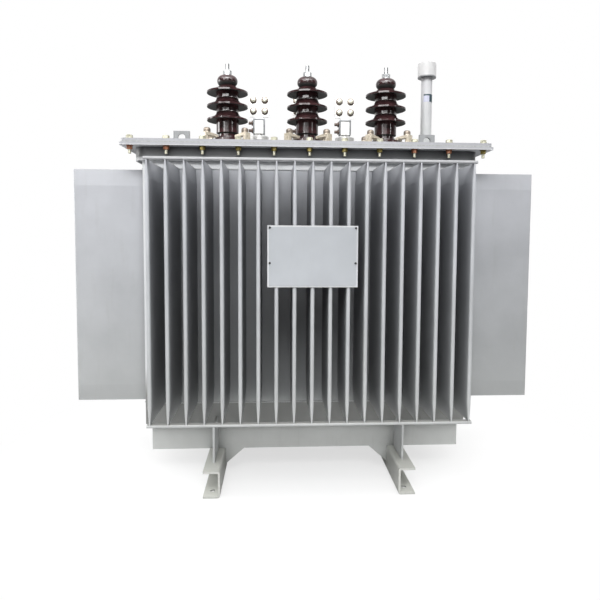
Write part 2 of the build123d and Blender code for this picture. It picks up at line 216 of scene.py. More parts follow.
# painted light and shade: the base box is a paler copy of the enamel, with painted shade along its top
# under the fins
baseLook = dict(
    enamelLook, lowColour="#cbcdcb", highColour="#c9cbc9", runStrength=0.22,
    shadeReach=70, shadeTone="#969797", shadeOpen=0.8,
)
# painted shade: the lugs are a darker copy of the enamel
lugLook = dict(enamelLook, lowColour="#9c9ea0", highColour="#9c9ea0", shadeReach=10)
# white above a dark grey band along the cap's lower rim
capLook = dict(
    enamelLook, lowLevel=1.2915, highLevel=1.296, lowColour="#76797c", highColour="#e6e6e6",
    runStrength=0.05, roughness=0.35, shadeReach=25,
)
pipeLook = dict(
    enamelLook, lowLevel=1.06, highLevel=1.28, lowColour="#c9cccc", highColour="#e3e3e6",
    runStrength=0.06, shadeReach=25,
)
plateLook = dict(
    enamelLook, lowColour="#babec2", highColour="#bcc0c5", runStrength=0.08,
    peelStrength=0.1, roughness=0.5, shadeReach=5,
)
bracketLook = dict(plateLook, lowColour="#dadcde", highColour="#dcdee0")
skidLook = dict(
    enamelLook, highLevel=0.3, lowColour="#c2c3be", highColour="#cccdc8", dustAndShade="#bfc0ba",
    runStrength=0.3, runSize=14, shadeReach=40,
)
greyEnamel = makeEnamel("greyEnamel", enamelLook)
finEnamel = makeEnamel("finEnamel", finLook)
endFinEnamel = makeEnamel("endFinEnamel", endFinLook)
rightFinEnamel = makeEnamel("rightFinEnamel", rightFinLook)
tankEnamel = makeEnamel("tankEnamel", tankLook)
neckEnamel = makeEnamel("neckEnamel", neckLook)
flangeEnamel = makeEnamel("flangeEnamel", flangeLook)
barEnamel = makeEnamel("barEnamel", barLook)
stiffenerEnamel = makeEnamel("stiffenerEnamel", stiffenerLook)
weldEnamel = makeEnamel("weldEnamel", weldLook)
baseEnamel = makeEnamel("baseEnamel", baseLook)
lugEnamel = makeEnamel("lugEnamel", lugLook)
whiteEnamel = makeEnamel("whiteEnamel", capLook)
pipeEnamel = makeEnamel("pipeEnamel", pipeLook)
plateEnamel = makeEnamel("plateEnamel", plateLook)
bracketEnamel = makeEnamel("bracketEnamel", bracketLook)
skidEnamel = makeEnamel("skidEnamel", skidLook)
print("enamels made")


# brown glazed porcelain: a glassy glaze over fired clay, darker where it pools; dull underneath, and
# painted near-black there as painted shade
def makePorcelain(name, look):
    material, tree, output, place = newMaterial(name)
    flow = addNode(tree, "ShaderNodeTexNoise", {
        "Vector": place, "Scale": patternScale(look["patch"]), "Detail": 3.0,
    })
    ramp = addNode(tree, "ShaderNodeValToRGB", {"Fac": flow.outputs["Fac"]})
    setRamp(ramp, ((0.35, hexColour(look["pooled"])), (0.65, hexColour(look["glaze"]))))
    facing = addNode(tree, "ShaderNodeSeparateXYZ", {
        "Vector": addNode(tree, "ShaderNodeNewGeometry").outputs["Normal"],
    })
    upward = addNode(tree, "ShaderNodeMapRange", {
        "Value": facing.outputs["Z"], "From Min": -0.6, "From Max": -0.1,
    })
    # painted shade: faces that look down are painted the dark under colour
    colour = addNode(tree, "ShaderNodeMix", {
        "Factor": upward.outputs["Result"],
        "A": hexColour(look["under"]),
        "B": ramp.outputs["Color"],
    }, data_type="RGBA")
    gloss = addNode(tree, "ShaderNodeMapRange", {
        "Value": upward.outputs["Result"],
        "To Min": look["underRoughness"],
        "To Max": look["roughness"],
    })
    ripple = addNode(tree, "ShaderNodeTexNoise", {
        "Vector": place, "Scale": patternScale(look["ripple"]), "Detail": 2.0,
    })
    bump = addNode(tree, "ShaderNodeBump", {
        "Height": ripple.outputs["Fac"], "Strength": 0.12, "Distance": mm(0.5),
    })
    shader = addNode(tree, "ShaderNodeBsdfPrincipled", {
        "Base Color": colour.outputs["Result"], "Roughness": gloss.outputs["Result"],
        "Normal": bump.outputs["Normal"], "IOR": 1.55, "Specular IOR Level": look["specularLevel"],
        "Coat Weight": look["coatWeight"], "Coat Roughness": look["coatRoughness"],
    })
    tree.links.new(shader.outputs["BSDF"], output.inputs["Surface"])
    return material


porcelainLook = {
    "glaze": "#4b3032", "pooled": "#2c1c1d", "patch": 24, "ripple": 9, "roughness": 0.1,
    "under": "#1b1f1c", "underRoughness": 0.65,
    "specularLevel": 0.5, "coatWeight": 0.0, "coatRoughness": 0.05,
}
# thick glaze in the corners mirrors more
pooledLook = dict(porcelainLook, specularLevel=1.0, coatWeight=1.0, coatRoughness=0.16)
brownPorcelain = makePorcelain("brownPorcelain", porcelainLook)
pooledGlaze = makePorcelain("pooledGlaze", pooledLook)
print("porcelain made")

# where a film's three colours lie in its noise, and the size of the metal's grain
plating = {"stops": (0.32, 0.5, 0.68), "grainSize": 2.5}


# plated steel hardware: a metal whose passivated film shifts in colour from spot to spot
def makePlating(name, look):
    material, tree, output, place = newMaterial(name)
    film = addNode(tree, "ShaderNodeTexNoise", {
        "Vector": place, "Scale": patternScale(look["patch"]), "Detail": 3.0, "Roughness": 0.6,
    })
    ramp = addNode(tree, "ShaderNodeValToRGB", {"Fac": film.outputs["Fac"]})
    setRamp(ramp, tuple(zip(plating["stops"], map(hexColour, look["film"]))))
    colour = ramp.outputs["Color"]
    if "split" in look:
        upperRamp = addNode(tree, "ShaderNodeValToRGB", {"Fac": film.outputs["Fac"]})
        setRamp(upperRamp, tuple(zip(plating["stops"], map(hexColour, look["upperFilm"]))))
        height = addNode(tree, "ShaderNodeSeparateXYZ", {"Vector": place}).outputs["Z"]
        upper = addNode(tree, "ShaderNodeMath", {
            0: height, 1: look["split"],
        }, operation="GREATER_THAN")
        colour = addNode(tree, "ShaderNodeMix", {
            "Factor": upper.outputs["Value"], "A": colour, "B": upperRamp.outputs["Color"],
        }, data_type="RGBA").outputs["Result"]
    grain = addNode(tree, "ShaderNodeTexNoise", {
        "Vector": place, "Scale": patternScale(plating["grainSize"]), "Detail": 2.0,
    })
    bump = addNode(tree, "ShaderNodeBump", {
        "Height": grain.outputs["Fac"], "Strength": 0.2, "Distance": mm(0.2),
    })
    shader = addNode(tree, "ShaderNodeBsdfPrincipled", {
        "Base Color": colour, "Metallic": look["metallic"], "Roughness": look["roughness"],
        "Normal": bump.outputs["Normal"],
    })
    tree.links.new(shader.outputs["BSDF"], output.inputs["Surface"])
    return material


# the clamps' fingers are pale; their domed nuts, above the split's height, have browned
yellowZinc = makePlating("yellowZinc", {
    "film": ("#d0c7b4", "#e2d8c8", "#bcb29c"), "patch": 14, "metallic": 0.5, "roughness": 0.45,
    "split": 1.0915, "upperFilm": ("#756a60", "#92877b", "#4f4740"),
})
# the cover bolts' heads are weathered pale, their nuts keep an olive film painted darker as painted shade
# under the flange, and a few nuts have rusted
paleZinc = makePlating("paleZinc", {
    "film": ("#a9a894", "#bdbbaa", "#98957f"), "patch": 8, "metallic": 0.5, "roughness": 0.5,
})
shadedOliveZinc = makePlating("shadedOliveZinc", {
    "film": ("#736631", "#8f8149", "#584c22"), "patch": 7, "metallic": 0.6, "roughness": 0.4,
})
rustedZinc = makePlating("rustedZinc", {
    "film": ("#7a4526", "#a56e50", "#5a321e"), "patch": 7, "metallic": 0.3, "roughness": 0.6,
})
# the low-voltage palms and caps are dull white metal; what holds them is darker steel and pale zinc
tinnedCopper = makePlating("tinnedCopper", {
    "film": ("#cdcdcb", "#d6d6d4", "#c2c2c0"), "patch": 18, "metallic": 0.4, "roughness": 0.45,
})
darkSteel = makePlating("darkSteel", {
    "film": ("#4f4642", "#6a5a52", "#39332f"), "patch": 6, "metallic": 0.5, "roughness": 0.45,
})
strapSteel = makePlating("strapSteel", {
    "film": ("#6d7072", "#84878a", "#585b5e"), "patch": 12, "metallic": 0.3, "roughness": 0.5,
})
palmBoltZinc = makePlating("palmBoltZinc", {
    "film": ("#c9bdb4", "#c6c9b8", "#ab9f96"), "patch": 9, "metallic": 0.6, "roughness": 0.4,
})
# the high-voltage studs are the brightest metal
platedSteel = makePlating("platedSteel", {
    "film": ("#909395", "#babcbd", "#787b7d"), "patch": 8, "metallic": 0.8, "roughness": 0.26,
})
print("plated metals made")


# cork-rubber gasket cut from sheet, its edge sprayed over with the tank: dull, pale, faintly grained
def makeGasket():
    look = {"paint": "#b9bbbb", "grain": "#a5a7a6", "grainSize": 4}
    material, tree, output, place = newMaterial("sprayedGasket")
    grain = addNode(tree, "ShaderNodeTexNoise", {
        "Vector": place, "Scale": patternScale(look["grainSize"]), "Detail": 3.0,
    })
    ramp = addNode(tree, "ShaderNodeValToRGB", {"Fac": grain.outputs["Fac"]})
    setRamp(ramp, ((0.4, hexColour(look["grain"])), (0.6, hexColour(look["paint"]))))
    shader = addNode(tree, "ShaderNodeBsdfPrincipled", {
        "Base Color": ramp.outputs["Color"], "Roughness": 0.75,
    })
    tree.links.new(shader.outputs["BSDF"], output.inputs["Surface"])
    return material


sprayedGasket = makeGasket()


# rivet heads blacked with paint: a dull, nearly flat black
def makeBlacking():
    look = {"black": "#1d1e20", "worn": "#34363a", "patch": 3}
    material, tree, output, place = newMaterial("blackedSteel")
    wear = addNode(tree, "ShaderNodeTexNoise", {"Vector": place, "Scale": patternScale(look["patch"])})
    ramp = addNode(tree, "ShaderNodeValToRGB", {"Fac": wear.outputs["Fac"]})
    setRamp(ramp, ((0.4, hexColour(look["black"])), (0.7, hexColour(look["worn"]))))
    shader = addNode(tree, "ShaderNodeBsdfPrincipled", {
        "Base Color": ramp.outputs["Color"], "Roughness": 0.5,
    })
    tree.links.new(shader.outputs["BSDF"], output.inputs["Surface"])
    return material


blackedSteel = makeBlacking()


# coloured vinyl film: even, smooth and slightly glossy, with faint clouding
def makeVinyl(name, look):
    material, tree, output, place = newMaterial(name)
    clouds = addNode(tree, "ShaderNodeTexNoise", {
        "Vector": place, "Scale": patternScale(look["cloudSize"]), "Detail": 2.0,
    })
    ramp = addNode(tree, "ShaderNodeValToRGB", {"Fac": clouds.outputs["Fac"]})
    setRamp(ramp, ((0.35, hexColour(look["shade"])), (0.65, hexColour(look["colour"]))))
    shader = addNode(tree, "ShaderNodeBsdfPrincipled", {
        "Base Color": ramp.outputs["Color"], "Roughness": 0.35,
    })
    tree.links.new(shader.outputs["BSDF"], output.inputs["Surface"])
    return material


lilacVinyl = makeVinyl("lilacVinyl", {"colour": "#cfd2e4", "shade": "#c2c4d8", "cloudSize": 9})
tealVinyl = makeVinyl("tealVinyl", {"colour": "#3c5458", "shade": "#2b3a48", "cloudSize": 9})
print("gasket, blacking and vinyl made")


# gives every face of a piece one material
def coat(piece, material):
    piece.data.materials.clear()
    piece.data.materials.append(material)


# dresses the CAD nodes of the given names, with or without a number behind
def dress(material, *names):
    for name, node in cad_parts.items():
        if name in names or name.rstrip("1234").rstrip("_") in names:
            coat(node, material)


dress(greyEnamel, "tank_cover")
dress(tankEnamel, "tank_body")
dress(neckEnamel, "tank_neck")
dress(flangeEnamel, "tank_flange")
dress(barEnamel, "front_top_bar", "front_bottom_bar", "back_top_bar", "back_bottom_bar")
dress(stiffenerEnamel, "front_stiffeners", "back_stiffeners")
dress(finEnamel, "front_fins", "back_fins")
dress(endFinEnamel, "left_fins")
dress(rightFinEnamel, "right_fins")
dress(baseEnamel, "base_box", "front_gussets", "back_gussets")
dress(lugEnamel, "left_front_lug", "left_back_lug", "right_front_lug", "right_back_lug")
dress(skidEnamel, "left_skid", "right_skid")
dress(sprayedGasket, "cover_gasket")
dress(pipeEnamel, "filler_pipe")
dress(whiteEnamel, "filler_cap")
dress(bracketEnamel, "nameplate_bracket")
dress(plateEnamel, "nameplate")
dress(brownPorcelain, "hv_bushing", "lv_bushing")
dress(platedSteel, "hv_stud")
dress(yellowZinc, "hv_clamps")
dress(tinnedCopper, "lv_palm")
print("CAD nodes dressed")


# the numbers of a repeated CAD node, such as 1 to 4 for lv_palm
def numbersOf(kind):
    count = sum(name.startswith(kind + "_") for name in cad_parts)
    return range(1, count + 1)


# selects the given pieces alone, the first of them active
def selectOnly(*pieces):
    bpy.ops.object.select_all(action="DESELECT")
    for piece in pieces:
        piece.select_set(True)
    bpy.context.view_layer.objects.active = pieces[0]


# selects the faces of the active piece that pass a test on centre and normal, and opens edit mode
def editFaces(test):
    piece = bpy.context.object
    for element in (*piece.data.vertices, *piece.data.edges):
        element.select = False
    for face in piece.data.polygons:
        face.select = test(face.center, face.normal)
    bpy.context.tool_settings.mesh_select_mode = (False, False, True)
    bpy.ops.object.mode_set(mode="EDIT")


# places the mesh for good, so that the object sits at the origin
def settle(piece):
    selectOnly(piece)
    bpy.ops.object.transform_apply(location=True, rotation=True, scale=True)


# makes one named piece of several, with its place in its mesh
def joinPieces(pieces, name):
    selectOnly(*pieces)
    if len(pieces) > 1:
        bpy.ops.object.join()
    joined = bpy.context.object
    joined.name = name
    joined.data.name = name
    bpy.ops.object.transform_apply(location=True, rotation=True, scale=True)
    return joined


# smooths a piece and says its body and slot; with None, it keeps the materials that it has
def finishPiece(piece, material, angle=35):
    if material is not None:
        coat(piece, material)
    selectOnly(piece)
    bpy.ops.object.shade_smooth_by_angle(angle=math.radians(angle))
    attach(piece, "root")


rimRise = 0.6  # how far a bevelled rim rises, as a share of its width


# a disc or hexagon standing up from a point, its upper rim bevelled; its sizes are in millimetres
def addDisc(disc, base=(0, 0, 0)):
    radius, depth, rim = (mm(disc[key]) for key in ("radius", "depth", "rim"))
    bpy.ops.mesh.primitive_cylinder_add(
        vertices=disc["sides"], radius=radius, depth=depth,
        location=(base[0], base[1], base[2] + depth / 2),
    )
    piece = bpy.context.object
    bpy.ops.object.transform_apply(location=True, rotation=True, scale=True)
    editFaces(lambda centre, normal: normal.z > 0.9)
    bpy.ops.mesh.inset(thickness=rim, depth=0)
    bpy.ops.transform.translate(value=(0, 0, rim * rimRise))
    bpy.ops.object.mode_set(mode="OBJECT")
    return piece


# a copy of a mesh piece with its own mesh, moved and turned
def copyTo(master, place, turn):
    piece = master.copy()
    piece.data = master.data.copy()
    bpy.context.collection.objects.link(piece)
    piece.location = place
    piece.rotation_euler = turn
    return piece


# the turn steps are radians from bolt to bolt, so that no two neighbours' heads lie alike
coverBolt = {
    "columns": 11, "pitchX": 107.7, "rows": 5, "inset": 16, "endInset": 28.5,
    "turnStep": 0.7, "sideTurnStep": 0.4, "rustedColumns": (0, 1, 8, 9),
    "washer": {"radius": 12, "depth": 2, "rim": 0.6, "sides": 24},
    "head": {"radius": 10.5, "depth": 7.5, "rim": 2, "sides": 6},
    "nutWasher": {"radius": 10, "depth": 2, "rim": 0.6, "sides": 24},
    "nut": {"radius": 8.8, "depth": 9, "rim": 1.6, "sides": 6},
    "stud": {"radius": 4.6, "depth": 22, "rim": 1, "sides": 16},
}


# one cover bolt at the origin: head and washer above, nut and stud end below the flange
def makeCoverBolt(name, nutMaterial):
    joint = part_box("tank_cover")[1][2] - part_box("tank_flange")[0][2]
    headSeat = (0, 0, mm(coverBolt["washer"]["depth"]))
    nutSeat = (0, 0, mm(coverBolt["nutWasher"]["depth"]))
    upper = joinPieces([
        addDisc(coverBolt["washer"]),
        addDisc(coverBolt["head"], headSeat),
    ], "boltHead")
    coat(upper, paleZinc)
    lower = joinPieces([
        addDisc(coverBolt["nutWasher"]),
        addDisc(coverBolt["nut"], nutSeat),
    ], "boltNut")
    coat(lower, nutMaterial)
    stud = addDisc(coverBolt["stud"], nutSeat)
    coat(stud, paleZinc)
    lower = joinPieces([lower, stud], "boltUnder")
    lower.rotation_euler = (math.pi, 0, 0)
    lower.location = (0, 0, -joint)
    settle(lower)
    return joinPieces([upper, lower], name)


def makeCoverBolts():
    plainBolt = makeCoverBolt("plainBolt", shadedOliveZinc)
    rustedBolt = makeCoverBolt("rustedBolt", rustedZinc)
    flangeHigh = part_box("tank_flange")[1]
    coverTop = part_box("tank_cover")[1][2]
    boltX = flangeHigh[0] - mm(coverBolt["endInset"])
    boltY = flangeHigh[1] - mm(coverBolt["inset"])
    lastColumn = coverBolt["columns"] - 1
    lastRow = coverBolt["rows"] - 1
    rows = {"coverBoltsFront": [], "coverBoltsBack": [], "coverBoltsSides": [], "coverBoltsRusted": []}
    for column in range(lastColumn + 1):
        x = (column - lastColumn / 2) * mm(coverBolt["pitchX"])
        turn = (0, 0, column * coverBolt["turnStep"])
        rows["coverBoltsBack"].append(copyTo(plainBolt, (x, boltY, coverTop), turn))
        if column in coverBolt["rustedColumns"]:
            rows["coverBoltsRusted"].append(copyTo(rustedBolt, (x, -boltY, coverTop), turn))
        else:
            rows["coverBoltsFront"].append(copyTo(plainBolt, (x, -boltY, coverTop), turn))
    # the corner bolts belong to the front and the back
    for row in range(1, lastRow):
        y = (row / lastRow * 2 - 1) * boltY
        turn = (0, 0, row * coverBolt["sideTurnStep"])
        for side in (-1, 1):
            rows["coverBoltsSides"].append(copyTo(plainBolt, (side * boltX, y, coverTop), turn))
    for name, bolts in rows.items():
        finishPiece(joinPieces(bolts, name), None)
    bpy.data.objects.remove(plainBolt)
    bpy.data.objects.remove(rustedBolt)


makeCoverBolts()
print("cover bolts made")

# the stud stands 5 mm out of its nut
palmBolt = {
    "palmWidth": 70, "palmHeight": 78, "palmThickness": 8, "pitchX": 40, "pitchZ": 38,
    "washer": {"radius": 12.2, "depth": 1.6, "rim": 0.5, "sides": 24},
    "head": {"radius": 8.8, "depth": 6, "rim": 1.8, "sides": 6},
    "nut": {"radius": 8.8, "depth": 8, "rim": 1.4, "sides": 6},
    "stud": {"radius": 5.5, "depth": 13, "rim": 1, "sides": 16},
}


# one palm bolt through the origin: head towards -Y, nut and stud end towards +Y
def makePalmBolt():
    half = mm(palmBolt["palmThickness"]) / 2
    face = (0, 0, half)
    seat = (0, 0, half + mm(palmBolt["washer"]["depth"]))
    frontWasher = addDisc(palmBolt["washer"], face)
    backWasher = addDisc(palmBolt["washer"], face)
    for piece in (frontWasher, backWasher):
        coat(piece, darkSteel)
    boltHead = addDisc(palmBolt["head"], seat)
    boltNut = addDisc(palmBolt["nut"], seat)
    boltEnd = addDisc(palmBolt["stud"], seat)
    for piece in (boltHead, boltNut, boltEnd):
        coat(piece, palmBoltZinc)
    front = joinPieces([frontWasher, boltHead], "palmBoltHead")
    back = joinPieces([backWasher, boltNut, boltEnd], "palmBoltNut")
    back.rotation_euler = (math.pi, 0, 0)
    settle(back)
    bolt = joinPieces([front, back], "palmBolt")
    bolt.rotation_euler = (math.pi / 2, 0, 0)
    settle(bolt)
    return bolt


# four bolts through each low-voltage palm, not all turned alike
def makePalmBolts():
    master = makePalmBolt()
    palms = sorted(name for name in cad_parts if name.startswith("lv_palm"))
    for number, node in enumerate(palms, 1):
        low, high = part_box(node)
        middleX = high[0] - mm(palmBolt["palmWidth"]) / 2
        middleY = (low[1] + high[1]) / 2
        middleZ = high[2] - mm(palmBolt["palmHeight"]) / 2
        bolts = []
        for across in (-0.5, 0.5):
            for up in (-0.5, 0.5):
                x = middleX + across * mm(palmBolt["pitchX"])
                z = middleZ + up * mm(palmBolt["pitchZ"])
                bolts.append(copyTo(master, (x, middleY, z), (0, across + up + number, 0)))
        finishPiece(joinPieces(bolts, f"palmBolts{number}"), None)
    bpy.data.objects.remove(master)


makePalmBolts()
print("palm bolts made")

# rivets lie to both sides of the object's middle, at drops below the bracket's top edge
plateRivet = {
    "placesX": (-118.5, 118.5), "drops": (6, 103),
    "rivet": {"radius": 3.2, "depth": 1.8, "rim": 1.3, "sides": 24},
}


def makeRivets():
    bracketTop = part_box("nameplate_bracket")[1][2]
    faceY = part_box("nameplate")[0][1]
    rivets = []
    for x in plateRivet["placesX"]:
        for drop in plateRivet["drops"]:
            rivet = addDisc(plateRivet["rivet"])
            rivet.rotation_euler = (math.pi / 2, 0, 0)
            rivet.location = (mm(x), faceY, bracketTop - mm(drop))
            settle(rivet)
            rivets.append(rivet)
    finishPiece(joinPieces(rivets, "plateRivets"), blackedSteel)


makeRivets()
print("nameplate rivets made")

# the CAD's clamp blocks: their side bolts stand out to the left by the overhang, and
# the level is a block's middle above the cover
clampBlock = {"overhang": 18, "width": 36, "level": 95.5}

# the two bolts of each clamp block, on its left: dark nuts, level with the block's middle
blockNut = {
    "pitch": 26,
    "nut": {"radius": 9.5, "depth": 7, "rim": 1.5, "sides": 6},
    "stud": {"radius": 5.4, "depth": 18, "rim": 0.8, "sides": 16},
}


def makeBlockNuts():
    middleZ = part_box("tank_cover")[1][2] + mm(clampBlock["level"])
    for number in numbersOf("lv_palm"):
        low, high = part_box(f"lv_palm_{number}")
        blockX = low[0] + mm(clampBlock["overhang"])
        middleY = (low[1] + high[1]) / 2
        nuts = []
        for up in (-0.5, 0.5):
            nut = joinPieces([addDisc(blockNut["nut"]), addDisc(blockNut["stud"])], "blockNut")
            nut.rotation_euler = (0, -math.pi / 2, 0)
            nut.location = (blockX, middleY, middleZ + up * mm(blockNut["pitch"]))
            settle(nut)
            nuts.append(nut)
        finishPiece(joinPieces(nuts, f"blockNuts{number}"), darkSteel)


makeBlockNuts()

# bottom and top are above the cover
blockStrap = {"width": 41, "depth": 33, "bottom": 70, "top": 122, "thickness": 5, "rounding": 0.8}


# a dark steel strap over the top and sides of each clamp block
def makeBlockStraps():
    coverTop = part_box("tank_cover")[1][2]
    width, depth = mm(blockStrap["width"]), mm(blockStrap["depth"])
    bottom, top = coverTop + mm(blockStrap["bottom"]), coverTop + mm(blockStrap["top"])
    straps = []
    for number in numbersOf("lv_palm"):
        low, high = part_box(f"lv_palm_{number}")
        middleX = low[0] + mm(clampBlock["overhang"]) + mm(clampBlock["width"]) / 2
        bpy.ops.mesh.primitive_cube_add(
            size=1, location=(middleX, (low[1] + high[1]) / 2, (top + bottom) / 2),
            scale=(width, depth, top - bottom),
        )
        strap = bpy.context.object
        settle(strap)
        editFaces(lambda centre, normal: abs(normal.y) > 0.9 or normal.z < -0.9)
        bpy.ops.mesh.delete(type="FACE")
        bpy.ops.object.mode_set(mode="OBJECT")
        wall = strap.modifiers.new("wall", "SOLIDIFY")
        wall.thickness = mm(blockStrap["thickness"])
        wall.offset = -1
        wall.use_even_offset = True
        bpy.ops.object.modifier_apply(modifier="wall")
        rounding = strap.modifiers.new("rounding", "BEVEL")
        rounding.width = mm(blockStrap["rounding"])
        rounding.segments = 2
        bpy.ops.object.modifier_apply(modifier="rounding")
        straps.append(strap)
    finishPiece(joinPieces(straps, "blockStraps"), strapSteel)


makeBlockStraps()
print("nuts and straps of the clamp blocks made")

# the bottom is above the cover
lowCap = {"bottom": 47, "disc": {"radius": 34, "depth": 13, "rim": 2, "sides": 48}}


# tinned caps over the tops of the low-voltage porcelains
def makeLowCaps():
    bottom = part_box("tank_cover")[1][2] + mm(lowCap["bottom"])
    caps = []
    for number in numbersOf("lv_bushing"):
        low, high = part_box(f"lv_bushing_{number}")
        caps.append(addDisc(lowCap["disc"], ((low[0] + high[0]) / 2, (low[1] + high[1]) / 2, bottom)))
    finishPiece(joinPieces(caps, "lowVoltageCaps"), tinnedCopper)


makeLowCaps()
print("low-voltage caps made")

# blank film round the filler pipe, with a dark band along its top and one edge; bottom and top are
# heights from the floor, degrees run round the pipe from +X, and the pipe is slimmer than its foot
fillerFilm = {
    "pipeInset": 8, "lift": 0.5, "thickness": 0.3, "bottom": 1210, "top": 1235, "topBand": 5,
    "sides": 72, "fromDegrees": -133, "bandDegrees": -73, "toDegrees": 7,
}


def makeFillerFilm():
    low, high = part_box("filler_pipe")
    middleX, middleY = (low[0] + high[0]) / 2, (low[1] + high[1]) / 2
    radius = (high[0] - low[0]) / 2 - mm(fillerFilm["pipeInset"]) + mm(fillerFilm["lift"])
    bottom, top = mm(fillerFilm["bottom"]), mm(fillerFilm["top"])
    bandBottom = top - mm(fillerFilm["topBand"])

    def turnOf(centre):
        return math.degrees(math.atan2(centre.y - middleY, centre.x - middleX))

    bpy.ops.mesh.primitive_cylinder_add(
        vertices=fillerFilm["sides"], radius=radius, depth=top - bottom,
        end_fill_type="NOTHING", location=(middleX, middleY, (top + bottom) / 2),
    )
    film = bpy.context.object
    settle(film)
    editFaces(lambda centre, normal: not (
        fillerFilm["fromDegrees"] < turnOf(centre) < fillerFilm["toDegrees"]
    ))
    bpy.ops.mesh.delete(type="FACE")
    bpy.ops.mesh.select_all(action="SELECT")
    bpy.ops.mesh.bisect(plane_co=(0, 0, bandBottom), plane_no=(0, 0, 1))
    bpy.ops.object.mode_set(mode="OBJECT")
    film.data.materials.append(lilacVinyl)
    film.data.materials.append(tealVinyl)
    for face in film.data.polygons:
        banded = face.center.z > bandBottom or turnOf(face.center) > fillerFilm["bandDegrees"]
        face.material_index = 1 if banded else 0
    wall = film.modifiers.new("wall", "SOLIDIFY")
    wall.thickness = mm(fillerFilm["thickness"])
    wall.offset = -1
    bpy.ops.object.modifier_apply(modifier="wall")
    film.name = "fillerFilm"
    finishPiece(film, None)


makeFillerFilm()
print("filler film made")

# glaze run together in the corner between the body and the top of a shed; roots are above the cover,
# the lip runs on into the body and down, and the slack keeps the vertex level with the arc's centre
glazeRoot = {
    "bodyRadius": 36, "roots": (105, 149), "radius": 19, "slopeDegrees": 37,
    "lipWidth": 2, "lipDrop": 1, "arcSlack": 0.3, "mergeDistance": 0.05,
    "circleSides": 72, "turnSteps": 48,
}


def makeGlazeRoots():
    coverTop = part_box("tank_cover")[1][2]
    radius, body, slack = (mm(glazeRoot[key]) for key in ("radius", "bodyRadius", "arcSlack"))
    lip = (-mm(glazeRoot["lipWidth"]), 0, -mm(glazeRoot["lipDrop"]))
    slope = math.radians(glazeRoot["slopeDegrees"])
    reach = radius * math.tan((math.pi / 2 - slope) / 2)  # from the corner to where the fillet starts
    for number in numbersOf("hv_bushing"):
        low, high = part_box(f"hv_bushing_{number}")
        axisX, axisY = (low[0] + high[0]) / 2, (low[1] + high[1]) / 2
        rings = []
        for root in glazeRoot["roots"]:
            centre = (axisX + body + radius, axisY, coverTop + mm(root) + reach)
            bpy.ops.mesh.primitive_circle_add(
                vertices=glazeRoot["circleSides"], radius=radius, location=centre,
                rotation=(math.pi / 2, 0, 0),
            )
            ring = bpy.context.object
            settle(ring)
            # only the arc that faces the corner stays
            lowest = centre[2] - radius * math.cos(slope) - slack
            highest = centre[2] + slack
            for element in (*ring.data.vertices, *ring.data.edges):
                element.select = False
            for vertex in ring.data.vertices:
                vertex.select = not (vertex.co.x < centre[0] and lowest < vertex.co.z < highest)
            bpy.context.tool_settings.mesh_select_mode = (True, False, False)
            bpy.ops.object.mode_set(mode="EDIT")
            bpy.ops.mesh.delete(type="VERT")
            bpy.ops.mesh.select_all(action="SELECT")
            bpy.ops.mesh.extrude_region_move(TRANSFORM_OT_translate={"value": lip})
            bpy.ops.mesh.select_all(action="SELECT")
            bpy.ops.mesh.spin(
                steps=glazeRoot["turnSteps"], angle=2 * math.pi,
                center=(axisX, axisY, 0), axis=(0, 0, 1),
            )
            bpy.ops.mesh.select_all(action="SELECT")
            bpy.ops.mesh.remove_doubles(threshold=mm(glazeRoot["mergeDistance"]))
            bpy.ops.mesh.select_all(action="SELECT")
            bpy.ops.mesh.normals_make_consistent(inside=False)
            bpy.ops.object.mode_set(mode="OBJECT")
            rings.append(ring)
        finishPiece(joinPieces(rings, f"glazeRoots{number}"), pooledGlaze, angle=50)


makeGlazeRoots()
print("glaze in the sheds' corners made")

# the stretch makes a ripple longer than wide; seams keep off the tank's rounded corners
weld = {"radius": 2.6, "stiffenerRadius": 2.4, "pitch": 5.5, "stretch": 1.25, "fromCorner": 16}


# a row of overlapping weld ripples from one point to another
def layWeld(start, end, radius):
    run = Vector(end) - Vector(start)
    bpy.ops.mesh.primitive_uv_sphere_add(
        segments=8, ring_count=5, radius=mm(radius), location=(0, 0, 0),
    )
    bead = bpy.context.object
    bead.scale = (weld["stretch"], 1, 1)
    bpy.ops.object.transform_apply(location=False, rotation=False, scale=True)
    row = bead.modifiers.new("row", "ARRAY")
    row.use_relative_offset = False
    row.use_constant_offset = True
    row.constant_offset_displace = (mm(weld["pitch"]), 0, 0)
    row.count = max(2, int(run.length / mm(weld["pitch"])))
    bpy.ops.object.modifier_apply(modifier="row")
    bead.rotation_euler = run.to_track_quat("X", "Z").to_euler()
    bead.location = start
    settle(bead)
    return bead


# seams along the bottom and top of each corrugated wall, under the neck, and up the stiffeners
def makeWelds():
    tankLow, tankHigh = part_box("tank_body")
    finLow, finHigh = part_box("front_fins")
    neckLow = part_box("tank_neck")[0]
    stiffLow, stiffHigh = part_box("front_stiffeners")
    seam, stiffenerSeam = weld["radius"], weld["stiffenerRadius"]
    corner = mm(weld["fromCorner"])
    beads = []
    for z in (finLow[2], finHigh[2], neckLow[2]):
        for side in (-1, 1):
            x, y = side * tankHigh[0], side * tankHigh[1]
            beads.append(layWeld((tankLow[0] + corner, y, z), (tankHigh[0] - corner, y, z), seam))
            beads.append(layWeld((x, tankLow[1] + corner, z), (x, tankHigh[1] - corner, z), seam))
    for side in (-1, 1):
        for x in (stiffLow[0], stiffHigh[0]):
            y = side * tankHigh[1]
            beads.append(layWeld((x, y, tankLow[2]), (x, y, stiffHigh[2]), stiffenerSeam))
    finishPiece(joinPieces(beads, "weldSeams"), weldEnamel, angle=60)


makeWelds()
print("weld seams made")


